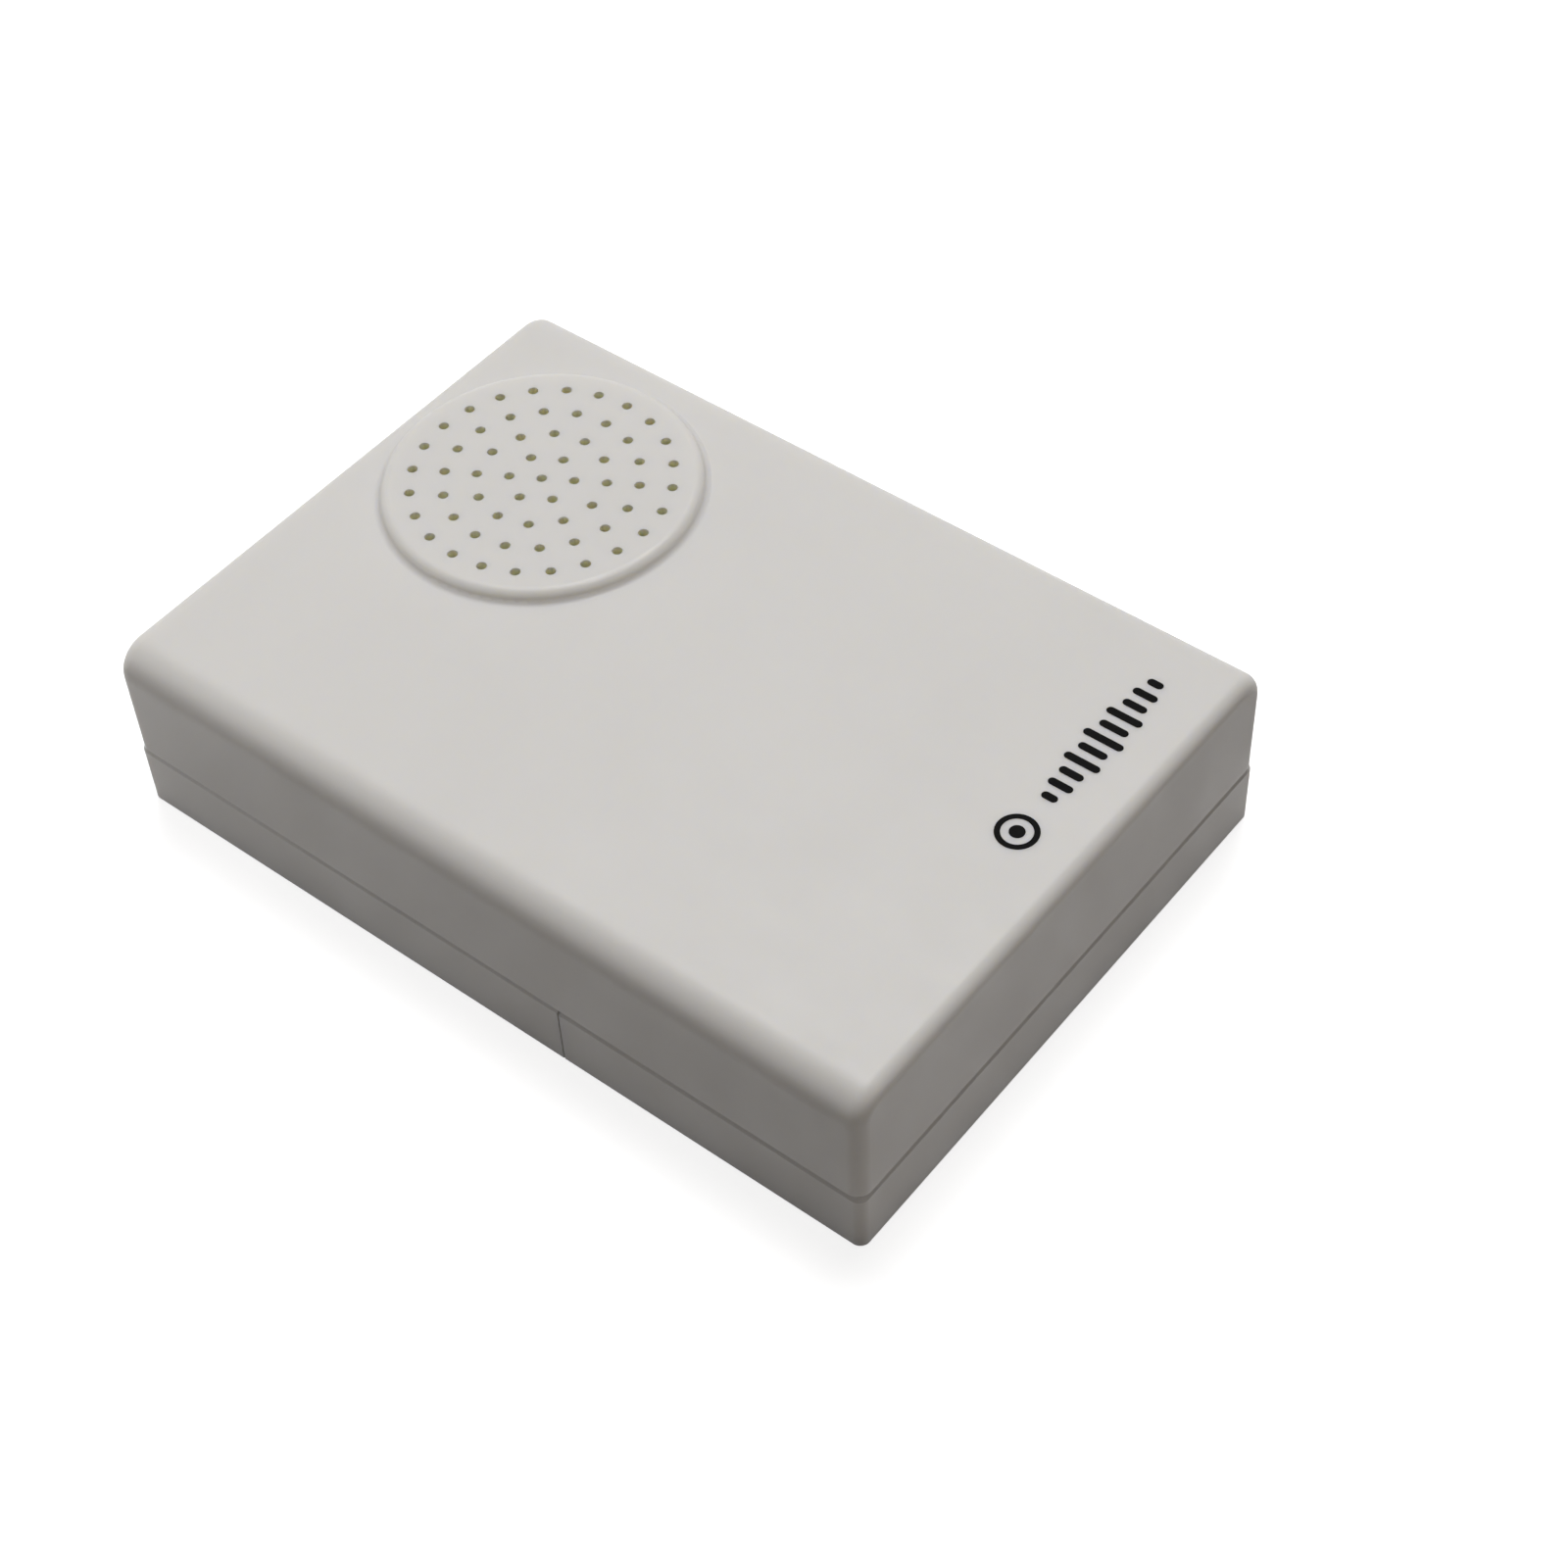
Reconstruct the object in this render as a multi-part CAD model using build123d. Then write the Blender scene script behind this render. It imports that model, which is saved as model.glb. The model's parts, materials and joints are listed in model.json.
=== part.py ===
from build123d import *
import math
import os

# Doorbell chime box, in millimetres.
# The origin is the middle of the back face, +Z points out of the front face,
# and +X runs along the box from the grille end to the battery end.

overrun = 1.0               # how far every cut runs past what it cuts

# Casing
body_length = 94.0
body_width = 66.0
face_height = 22.0          # back plane to the flat front face
parting_height = 7.75       # back plane to the line between front cover and rear casing
corner_radius = 1.6         # front cover: upright corners and short top edges
shell_corner_radius = 1.1   # rear casing: upright corners
long_edge_radius = 3.6      # front cover: long top edges
cover_wall = 2.0
shell_wall = 1.8
door_wall = 1.8
floor_thickness = 1.8
seam_gap = 0.2              # between rear shell and battery door
shadow_gap_height = 0.3     # dark line round the parting
shadow_gap_depth = 0.5
rim_chamfer = 0.4
foot_chamfer = 0.2
half_length = body_length / 2
half_width = body_width / 2
ceiling = face_height - cover_wall

# Battery tray and cells
cell_lift = 3.1             # back plane to the underside of the cells
cell_nub_radius = 2.75
cell_nub_height = 1.3
cell_edge = 0.6
cell_play = 0.075           # free length at each end of a cell
cell_side_gap = 1.2         # cells to the tray's long walls
tray_wall = 1.2
tray_cover_gap = 1.0        # tray's top to the front cover's ceiling
tray_ceiling_gap = 0.2
tray_foot_gap = 0.15
tray_side_gap = 0.8         # tray to the inside of the door's side walls
tray_end_gap = 0.6
cell_divider_width = 1.0
cell_divider_gap = 0.25
cell_divider_depth = 2.3
cell_divider_inset = 9.2    # tray's end walls to the ends of the divider
tray_top = ceiling - tray_cover_gap
tray_ceiling = tray_top - tray_wall
tray_foot = floor_thickness + tray_foot_gap
tray_y_outer = half_width - door_wall - tray_side_gap
tray_y_inner = tray_y_outer - tray_wall
cell_radius = (tray_ceiling - tray_ceiling_gap - cell_lift) / 2
cell_z = cell_lift + cell_radius
cell_pitch = 2 * cell_radius + cell_divider_width + 2 * cell_divider_gap
tray_inner_length = cell_pitch + 2 * cell_radius + 2 * cell_side_gap
tray_x_end = half_length - door_wall - tray_end_gap
tray_inner_high = tray_x_end - tray_wall
tray_inner_low = tray_inner_high - tray_inner_length
tray_x_start = tray_inner_low - tray_wall
tray_middle = (tray_inner_low + tray_inner_high) / 2
cell_a_x = tray_middle - cell_pitch / 2
cell_b_x = tray_middle + cell_pitch / 2

# Seam between rear shell and battery door, in line with the tray's inner face
seam_x = tray_inner_low + seam_gap / 2

# Raised grille disc and its sound holes
disc_end_margin = 1.9       # casing's end face to the foot of the disc
disc_side_margin = 4.8      # casing's long side to the foot of the disc
disc_raise = 1.3
disc_flat_radius = 15.95
disc_foot_width = 1.75      # width of the soft step at the disc's edge
disc_turn_share = 0.62      # share of that step that is the outward round
disc_wall = 1.05            # edge of the flat to the pocket behind it
hole_pitch = 3.46
hole_radius = 0.55
first_ring_count = 6
ring_angles = (30.0, 0.0, 10.0, 0.0)
disc_foot_radius = disc_flat_radius + disc_foot_width
disc_pocket_radius = disc_flat_radius - disc_wall
grille_x = -half_length + disc_end_margin + disc_foot_radius
grille_y = half_width - disc_side_margin - disc_foot_radius

# Locating lip between rear shell and front cover
lip_gap = 0.1
lip_thickness = 0.8
lip_height = 1.4
lip_root_inset = 1.0
lip_root_height = 2.0

# Case screws, their towers and bosses
boss_inset = 6.2            # casing's outer faces to the screws' axes
boss_seam_inset = 7.1       # seam to the axes of the two screws beside it
boss_wall = 1.6
boss_gap_below_parting = 0.15
tower_wall = 0.5
screw_radius = 1.4
screw_clearance = 0.2
pilot_clearance = 0.05
screw_head_radius = 2.6
screw_head_height = 1.9
counterbore_clearance = 0.3
counterbore_depth = 3.2
screw_tip_gap = 5.0         # screw's tip to the front cover's ceiling
recess_width = 0.7
recess_length = 3.2
recess_depth = 0.9
boss_radius = screw_radius + boss_wall
tower_radius = screw_head_radius + counterbore_clearance + tower_wall
boss_foot = parting_height - boss_gap_below_parting
boss_x_low = -half_length + boss_inset
boss_x_high = seam_x - boss_seam_inset
boss_y = half_width - boss_inset
screw_tip = ceiling - screw_tip_gap

# Keyholes for hanging the box on two wall screws
keyhole_spacing = 40.0
keyhole_from_grille = 7.4   # grille's middle to the entries, along the box
keyhole_entry_radius = 4.0
keyhole_slot_radius = 2.0
keyhole_slot_run = 6.0
keyhole_pocket_wall = 1.0
keyhole_pocket_depth = 4.0
keyhole_pocket_margin = 0.7
keyhole_x = grille_x + keyhole_from_grille
keyhole_y = keyhole_spacing / 2
pocket_top = floor_thickness + keyhole_pocket_depth + keyhole_pocket_wall

# Battery door
door_top_gap = 0.1
tongue_y_inset = 15.0       # casing's long sides to the middle of each tongue
tongue_width = 8.0
tongue_thickness = 0.9
tongue_reach = 3.1
tongue_root = 3.3
tongue_gap = 0.1
notch_clearance = 0.25
rail_height = 1.2
rail_lift = 1.6             # floor to the underside of the rails
rail_gap = 0.2
rib_gap = 0.15
rib_height = 1.0
rail_lead = 1.4             # from the seam to where the rails start
grip_count = 5
grip_pitch = 2.0
grip_width = 1.0
grip_length = 18.0
grip_depth = 0.5
grip_end_inset = 11.0       # casing's end face to the first grip groove
tongue_y = half_width - tongue_y_inset
tongue_foot = floor_thickness + tongue_gap
tongue_top = tongue_foot + tongue_thickness
rail_foot = floor_thickness + rail_lift
grip_x = half_length - grip_end_inset

# Loudspeaker
speaker_overlap = 1.1       # how far the speaker's rim laps the edge of the disc's pocket
speaker_rim_height = 1.0
speaker_rim_width = 1.4
gasket_height = 0.6
gasket_width = 1.0
gasket_play = 0.05
basket_sheet = 0.6
basket_depth = 4.4          # from the rim's underside to the basket floor's underside
basket_taper = 4.0          # how much the basket's radius falls on the way down
basket_windows = 4
basket_window_width = 7.0
basket_window_angle = 45.0  # from the tag board to the first window
yoke_inset = 3.0            # basket floor's edge to the yoke
yoke_wall = 1.3
yoke_depth = 4.2
yoke_floor = 1.2
magnet_gap = 1.6            # magnet to the inside of the yoke
pole_overhang = 0.2
pole_height = 1.2
pole_rise = 0.4             # pole plate's top above the yoke's edge
coil_gap = 0.3              # pole plate to the coil
coil_wall = 0.7
coil_height = 2.8
coil_rise = 0.4             # coil's top above the basket floor's top
cone_sheet = 0.35
cone_edge_gap = 0.3
cone_rise = 3.6
dome_rise = 1.4
dome_middle_share = 0.55
dome_height_share = 0.72
roll_width = 1.5
roll_rise = 0.6
speaker_ring_gap = 0.15
speaker_ring_wall = 1.0
speaker_ring_skirt = 0.4    # the ring's reach below the speaker's rim
hook_width = 5.0
hook_drop = 1.2
hook_bite = 0.6
hook_clearance = 0.05
hook_angles = (30.0, 150.0, 270.0)
tag_board_angle = -10.0
tag_board_width = 8.0
tag_board_inset = 1.2       # speaker's rim to the tag board's inner edge
tag_board_reach = 3.2       # how far the tag board stands out of the rim
tag_board_sheet = 0.8
tag_board_clearance = 0.3
tag_sheet = 0.3
tag_width = 1.8
tag_overlap = 2.6           # the tags' length on their board
tag_reach = 1.4             # how far the tags stand out of their board
tag_spread = 4.4
speaker_radius = disc_pocket_radius + speaker_overlap
gasket_inner_radius = speaker_radius - gasket_width
basket_top_radius = speaker_radius - speaker_rim_width
basket_floor_radius = basket_top_radius - basket_taper
speaker_rim_inner = basket_top_radius - 2 * basket_sheet
cone_outer_radius = speaker_rim_inner - cone_edge_gap - roll_width
yoke_radius = basket_floor_radius - yoke_inset
yoke_inner_radius = yoke_radius - yoke_wall
magnet_radius = yoke_inner_radius - magnet_gap
magnet_height = yoke_depth - yoke_floor - pole_height + pole_rise
pole_radius = magnet_radius + pole_overhang
coil_inner_radius = pole_radius + coil_gap
coil_outer_radius = coil_inner_radius + coil_wall
rim_top = ceiling - gasket_height
rim_foot = rim_top - speaker_rim_height
basket_floor_foot = rim_foot - basket_depth
basket_floor_top = basket_floor_foot + basket_sheet
yoke_foot = basket_floor_foot - yoke_depth
hook_inner = speaker_radius + speaker_ring_gap
ring_outer = hook_inner + speaker_ring_wall
tag_board_inner = speaker_radius - tag_board_inset
tag_board_outer = speaker_radius + tag_board_reach
tag_inner = tag_board_outer - tag_overlap
tag_outer = tag_board_outer + tag_reach

# Circuit board and its posts
board_end_inset = 11.0      # casing's grille end to the board
board_seam_inset = 10.6     # seam to the board
board_side_inset = 4.0      # casing's long side to the board
board_depth = 20.0
board_pocket_gap = 1.2      # keyhole pockets to the board's underside
board_thickness = 1.6
board_post_inset_x = 3.4
board_post_inset_y = 2.6
board_post_radius = 2.2
board_hole_clearance = 0.2
board_screw_radius = 0.9
board_screw_head_radius = 2.0
board_screw_head_height = 1.3
board_screw_reach = 5.5
board_pin_radius = 0.9
board_pin_rise = 1.0
board_x_low = -half_length + board_end_inset
board_x_high = seam_x - board_seam_inset
board_y_low = -half_width + board_side_inset
board_y_high = board_y_low + board_depth
board_bottom = pocket_top + board_pocket_gap
board_top = board_bottom + board_thickness

# Battery contacts, with their two solder tags above the circuit board
contact_sheet = 0.4
contact_width = 10.0
contact_foot_lift = 2.4     # underside of the cells to the foot of the plates
contact_top_gap = 2.8       # top of the plates to the tray's ceiling
contact_dimple_radius = 1.6
contact_dimple = 1.15
contact_slot_clearance = 0.1
tag_height = 1.8
tag_tip_reach = 2.3         # how far the tags stand out of the tray
negative_tag_lift = 2.4     # circuit board to the lower tag
positive_tag_gap = 0.4      # upper tag to the tray's ceiling
link_margin = 5.0
spring_wire_radius = 0.35
spring_length = 5.8
spring_base_radius = 4.0
spring_tip_radius = 2.4
spring_turns = 4
contact_face = tray_y_inner - contact_sheet
cell_length = 2 * contact_face - spring_length - contact_dimple - 2 * cell_play
contact_foot = cell_lift + contact_foot_lift
contact_top = tray_ceiling - contact_top_gap
tag_tip_x = tray_x_start - tag_tip_reach
negative_tag_z = board_top + negative_tag_lift
positive_tag_z = tray_ceiling - positive_tag_gap - tag_height

# Terminal block on the circuit board, with the bell wires' entry in front of it
block_length = 10.2
block_depth = 7.6
block_headroom = 2.0        # block's top to the front cover's ceiling
block_inset = 0.4
block_floor = 1.2
cage_width = 3.6
cage_depth = 4.6
cage_height = 4.2
cage_clearance = 0.1
cage_wall = 0.7
mouth_radius = 1.3
block_screw_radius = 1.0
block_screw_head_radius = 1.75
block_screw_head_height = 1.2
block_screw_depth = 1.0
block_screw_slot = 0.5
wire_entry_radius = 3.5
wire_entry_seam_inset = 15.4
wire_entry_board_gap = 7.5  # circuit board's edge to the entry's middle
block_top = ceiling - block_headroom
wire_entry_x = seam_x - wire_entry_seam_inset
wire_entry_y = board_y_high + wire_entry_board_gap

# Other parts on the circuit board, placed from its edges
melody_from_high = 15.0     # board's seam edge to the middle of the melody board
melody_from_side = 9.0      # board's outer edge to the middle of the melody board
melody_length = 14.0
melody_headroom = 1.8
melody_sheet = 1.0
chip_radius = 3.2
chip_rise = 1.4
capacitor_radius = 2.5
capacitor_headroom = 4.4
capacitor_from_low = 4.5    # board's grille edge to the first can
capacitor_pitch = 6.1
capacitor_from_top = 6.2    # board's inner edge to both cans
capacitor_edge = 0.4
capacitor_groove = 0.25
disc_capacitor_from_high = 18.5
disc_capacitor_from_top = 4.4
disc_capacitor_radius = 2.6
disc_capacitor_thickness = 2.0
lead_radius = 0.3
lead_rise = 1.2
transistor_from_low = 7.5
transistor_from_side = 6.5
transistor_radius = 2.4
transistor_height = 4.6
transistor_flat = 1.4
transistor_pitch = 1.3
resistor_radius = 1.15
resistor_length = 6.3
resistor_span = 10.0
resistor_waist = 0.2
resistor_count = 2
resistor_pitch = 2.8
resistor_from_high = 14.5
resistor_from_side = 2.0
melody_x = board_x_high - melody_from_high
melody_y = board_y_low + melody_from_side
melody_top = ceiling - melody_headroom
capacitor_top = ceiling - capacitor_headroom
disc_capacitor_x = board_x_high - disc_capacitor_from_high
disc_capacitor_y = board_y_high - disc_capacitor_from_top
transistor_x = board_x_low + transistor_from_low
transistor_y = board_y_low + transistor_from_side

# Wires inside the box
wire_radius = 0.55
wire_bend = 1.7
battery_wire_gap = 1.2      # tray to the middle of the battery wires
battery_wire_from_high = 3.0
negative_wire_from_side = 7.5
positive_wire_from_side = 9.5
speaker_land_from_high = 12.8
speaker_land_pitch = 3.4
speaker_land_from_top = 2.2
battery_wire_x = tray_x_start - battery_wire_gap
battery_wire_land_x = board_x_high - battery_wire_from_high
negative_wire_y = board_y_low + negative_wire_from_side
positive_wire_y = board_y_low + positive_wire_from_side
speaker_wire_top = rim_foot - tag_board_sheet - tag_sheet
speaker_wire_z = (board_top + speaker_wire_top) / 2

FROM_CORNER = (Align.MIN, Align.MIN, Align.MIN)
FROM_BASE = (Align.CENTER, Align.CENTER, Align.MIN)


def slab(x0, x1, y0, y1, z0, z1):
    """A box given by its low and high sides."""
    return Pos(x0, y0, z0) * Box(x1 - x0, y1 - y0, z1 - z0, align=FROM_CORNER)


def post(x, y, z0, z1, radius):
    """An upright round bar from z0 to z1."""
    return Pos(x, y, z0) * Cylinder(radius, z1 - z0, align=FROM_BASE)


def ring(x, y, z0, z1, outer, inner):
    """An upright tube from z0 to z1."""
    return post(x, y, z0, z1, outer) - post(x, y, z0 - overrun, z1 + overrun, inner)


def outline(inset):
    """Plan outline of the rear casing, set in from its outer face."""
    shape = Rectangle(body_length - 2 * inset, body_width - 2 * inset)
    radius = shell_corner_radius - inset
    return fillet(shape.vertices(), radius) if radius > 0 else shape


def block_of(inset, z0, z1):
    """The casing's outline, set in and raised from z0 to z1."""
    return extrude(Pos(0, 0, z0) * outline(inset), amount=z1 - z0)


def loop_of(outer_inset, inner_inset, z0, z1):
    """A wall that follows the casing's outline."""
    return block_of(outer_inset, z0, z1) - block_of(inner_inset, z0 - overrun, z1 + overrun)


def left_of(x):
    """Everything on the grille side of a plane across the box."""
    side = body_length + overrun
    return slab(x - side, x, -side, side, -side, side)


def at_speaker(angle, shape):
    """A shape drawn along +X from the speaker's axis, turned to its angle."""
    return Pos(grille_x, grille_y, 0) * Rot(0, 0, angle) * shape


def boss_spots():
    """Plan places of the four case screws."""
    return [(x, y) for x in (boss_x_low, boss_x_high) for y in (-boss_y, boss_y)]


def mirrored(shape):
    """The shape and its mirror image across the box's long middle plane."""
    return shape + mirror(shape, about=Plane.XZ)


def joined(shapes):
    """One shape out of several."""
    whole = shapes[0]
    for shape in shapes[1:]:
        whole = whole + shape
    return whole


def cover_profile(inset, foot):
    """Cross-section of the front cover, set in from its outer face."""
    top = face_height - inset
    shape = Pos(0, (foot + top) / 2) * Rectangle(body_width - 2 * inset, top - foot)
    corners = shape.vertices().group_by(Axis.Y)[-1]
    return Plane.YZ * fillet(corners, long_edge_radius - inset)


def cover_form():
    """Outside of the front cover without its disc."""
    form = extrude(cover_profile(0, parting_height), amount=half_length, both=True)
    ends = form.faces().sort_by(Axis.X)
    edges = ends[0].edges() + ends[-1].edges()
    foot = edges.group_by(Axis.Z)[0]
    return fillet([edge for edge in edges if edge not in foot], corner_radius)


def disc_form():
    """Raised disc with a soft S-shaped edge."""
    top = face_height + disc_raise
    turn = (disc_flat_radius + disc_foot_width * disc_turn_share,
            face_height + disc_raise * (1 - disc_turn_share))
    foot = (disc_foot_radius, face_height)
    base = (disc_foot_radius, ceiling + cover_wall / 2)
    sides = [
        Line((0, base[1]), (0, top)),
        Line((0, top), (disc_flat_radius, top)),
        TangentArc((disc_flat_radius, top), turn, tangent=(1, 0)),
        TangentArc(foot, turn, tangent=(-1, 0)),
        Line(foot, base),
        Line(base, (0, base[1])),
    ]
    face = make_face(Plane.XZ * (Curve() + sides))
    return Pos(grille_x, grille_y, 0) * revolve(face, axis=Axis.Z)


def sound_holes():
    """Drills for the grille: one in the middle and four rings."""
    spots = [(0, 0)]
    for number, first_angle in enumerate(ring_angles, start=1):
        count = number * first_ring_count
        radius = number * hole_pitch
        for step in range(count):
            angle = math.radians(first_angle + step * 360 / count)
            spots.append((radius * math.cos(angle), radius * math.sin(angle)))
    low = ceiling - overrun
    high = face_height + disc_raise + overrun
    return [post(grille_x + x, grille_y + y, low, high, hole_radius) for x, y in spots]


def speaker_hook():
    """Snap hook beside the speaker's rim, drawn along +X."""
    foot = rim_foot - hook_drop
    arm = slab(hook_inner, ring_outer, -hook_width / 2, hook_width / 2, foot, ceiling)
    bite = slab(speaker_radius - hook_bite, ring_outer, -hook_width / 2, hook_width / 2,
                foot, rim_foot - hook_clearance)
    return arm + bite


def speaker_seat():
    """Ring and hooks that hold the speaker under the front face."""
    wall = ring(grille_x, grille_y, rim_foot - speaker_ring_skirt, ceiling, ring_outer, hook_inner)
    half = tag_board_width / 2 + tag_board_clearance
    notch = slab(tag_board_inner, tag_board_outer, -half, half,
                 rim_foot - tag_board_sheet - overrun, rim_foot + tag_board_clearance)
    wall = wall - at_speaker(tag_board_angle, notch)
    return joined([wall] + [at_speaker(angle, speaker_hook()) for angle in hook_angles])


def front_cover():
    """Front shell with grille, speaker seat and screw bosses."""
    inner = extrude(cover_profile(cover_wall, parting_height - overrun),
                    amount=half_length - cover_wall, both=True)
    cover = cover_form() + disc_form() - inner
    cover = cover - post(grille_x, grille_y, ceiling - overrun, ceiling + disc_raise,
                         disc_pocket_radius)
    shadow = block_of(-overrun, parting_height - overrun, parting_height + shadow_gap_height)
    shadow = shadow - block_of(shadow_gap_depth, parting_height - 2 * overrun,
                               parting_height + overrun)
    cover = cover - shadow
    for x, y in boss_spots():
        cover = cover + post(x, y, boss_foot, ceiling, boss_radius)
        cover = cover - post(x, y, boss_foot - overrun, screw_tip + screw_clearance,
                             screw_radius + pilot_clearance)
    cover = cover + speaker_seat()
    return cover - sound_holes()


def keyhole(radius_extra, z0, z1):
    """Keyhole prism: a round entry with a slot towards the grille end."""
    shapes = []
    for y in (-keyhole_y, keyhole_y):
        entry = post(keyhole_x, y, z0, z1, keyhole_entry_radius + radius_extra)
        end = keyhole_x - keyhole_slot_run
        tip = post(end, y, z0, z1, keyhole_slot_radius + radius_extra)
        half = keyhole_slot_radius + radius_extra
        shapes.append(entry + tip + slab(end, keyhole_x, y - half, y + half, z0, z1))
    return joined(shapes)


def keyhole_pockets(outer):
    """Closed pockets over the keyholes that keep the wall screws off the circuit board."""
    wall = keyhole_pocket_wall if outer else 0
    reach = keyhole_entry_radius + keyhole_pocket_margin + wall
    end = keyhole_x - keyhole_slot_run - reach
    high = floor_thickness + keyhole_pocket_depth + wall
    return joined([slab(end, keyhole_x + reach, y - reach, y + reach, floor_thickness, high)
                   for y in (-keyhole_y, keyhole_y)])


def battery_tray():
    """Tray for the cells, open to the back, with rails for the door."""
    outer = slab(tray_x_start, tray_x_end, -tray_y_outer, tray_y_outer, tray_foot, tray_top)
    wall_foot = slab(tray_x_start, tray_inner_low, -tray_y_outer, tray_y_outer,
                     floor_thickness, tray_foot)
    inner = slab(tray_inner_low, tray_inner_high, -tray_y_inner, tray_y_inner,
                 floor_thickness - overrun, tray_ceiling)
    divider = slab(tray_middle - cell_divider_width / 2, tray_middle + cell_divider_width / 2,
                   -tray_y_inner + cell_divider_inset, tray_y_inner - cell_divider_inset,
                   tray_ceiling - cell_divider_depth, tray_ceiling)
    rail = slab(seam_x + rail_lead, tray_x_end, tray_y_outer, half_width - door_wall - rail_gap,
                rail_foot, rail_foot + rail_height)
    return outer + wall_foot - inner + divider + mirrored(rail)


def tongue_notches():
    """Ways for the door's tongues through the tray's two end walls."""
    half = tongue_width / 2 + notch_clearance
    return [slab(tray_x_start - overrun, tray_x_end + overrun, y - half, y + half,
                 floor_thickness, tongue_top + notch_clearance)
            for y in (-tongue_y, tongue_y)]


def contact_slots():
    """Slots in the tray's wall for the two solder tags."""
    gap = contact_slot_clearance
    return [slab(tray_x_start - overrun, tray_inner_low + overrun, -tray_y_inner, -contact_face + gap,
                 z - gap, z + tag_height + gap)
            for z in (negative_tag_z, positive_tag_z)]


def board_post_spots():
    """Two screw posts on one long side of the board and two pin posts on the other."""
    xs = (board_x_low + board_post_inset_x, board_x_high - board_post_inset_x)
    screws = [(x, board_y_low + board_post_inset_y) for x in xs]
    pins = [(xs[0], board_y_high - board_post_inset_y)]
    return screws, pins


def board_posts():
    """Posts under the circuit board."""
    screws, pins = board_post_spots()
    shapes = [post(x, y, floor_thickness, board_bottom, board_post_radius) for x, y in screws + pins]
    shapes += [post(x, y, board_bottom, board_top + board_pin_rise, board_pin_radius) for x, y in pins]
    return joined(shapes)


def rear_shell():
    """Rear casing of the grille end, with the battery tray in one piece."""
    shell = block_of(0, 0, parting_height)
    shell = chamfer(shell.faces().sort_by(Axis.Z)[-1].edges(), rim_chamfer)
    shell = chamfer(shell.faces().sort_by(Axis.Z)[0].edges(), foot_chamfer)
    shell = shell - block_of(shell_wall, floor_thickness, parting_height + overrun)
    lip_inset = cover_wall + lip_gap
    shell = shell + loop_of(lip_root_inset, lip_inset + lip_thickness,
                            parting_height - lip_root_height, parting_height)
    shell = shell & left_of(seam_x - seam_gap / 2)
    shell = shell + loop_of(lip_inset, lip_inset + lip_thickness,
                            parting_height, parting_height + lip_height)
    shell = shell + battery_tray() + board_posts() + keyhole_pockets(True)
    for x, y in boss_spots():
        shell = shell + post(x, y, 0, boss_foot, tower_radius)
    for x, y in boss_spots():
        shell = shell - post(x, y, -overrun, counterbore_depth, screw_head_radius + counterbore_clearance)
        shell = shell - post(x, y, 0, boss_foot + overrun, screw_radius + screw_clearance)
        lip_space = post(x, y, boss_foot, parting_height + lip_height + overrun,
                         boss_radius + screw_clearance)
        shell = shell - lip_space
    for x, y in board_post_spots()[0]:
        shell = shell - post(x, y, board_top - board_screw_reach - screw_clearance, board_bottom + overrun,
                             board_screw_radius + pilot_clearance)
    shell = shell - keyhole_pockets(False) - keyhole(0, -overrun, floor_thickness + overrun)
    shell = shell - post(wire_entry_x, wire_entry_y, -overrun, floor_thickness + overrun,
                         wire_entry_radius)
    return shell - tongue_notches() - contact_slots()


def battery_door():
    """Wrap-round door that slides off along +X."""
    start = seam_x + seam_gap / 2
    top = parting_height - door_top_gap
    door = block_of(0, 0, top)
    door = chamfer(door.faces().sort_by(Axis.Z)[-1].edges(), rim_chamfer)
    door = chamfer(door.faces().sort_by(Axis.Z)[0].edges(), foot_chamfer)
    door = door - block_of(door_wall, floor_thickness, parting_height + overrun)
    door = door - left_of(start)
    rib_foot = rail_foot + rail_height + rib_gap
    rib = slab(seam_x + rail_lead, half_length - door_wall, tray_y_outer + rail_gap,
               half_width - door_wall / 2, rib_foot, rib_foot + rib_height)
    door = door + mirrored(rib)
    for y in (-tongue_y, tongue_y):
        low = y - tongue_width / 2
        high = y + tongue_width / 2
        door = door + slab(start, start + tongue_root, low, high, floor_thickness, tongue_top)
        door = door + slab(start - tongue_reach, start, low, high, tongue_foot, tongue_top)
    for number in range(grip_count):
        x = grip_x + number * grip_pitch
        door = door - slab(x, x + grip_width, -grip_length / 2, grip_length / 2, -overrun, grip_depth)
    return door


def case_screws():
    """Four pan-head case screws, heads to the back."""
    screws = []
    for x, y in boss_spots():
        head_foot = counterbore_depth - screw_head_height
        screw = post(x, y, head_foot, counterbore_depth, screw_head_radius)
        screw = screw + post(x, y, counterbore_depth, screw_tip, screw_radius)
        for length, width in ((recess_length, recess_width), (recess_width, recess_length)):
            screw = screw - slab(x - length / 2, x + length / 2, y - width / 2, y + width / 2,
                                 head_foot - overrun, head_foot + recess_depth)
        screws.append(screw)
    return screws


def turned(points):
    """Solid of revolution on the speaker's axis, from (radius, height) corners."""
    face = make_face(Plane.XZ * Polyline(*points, close=True))
    return Pos(grille_x, grille_y, 0) * revolve(face, axis=Axis.Z)


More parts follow.
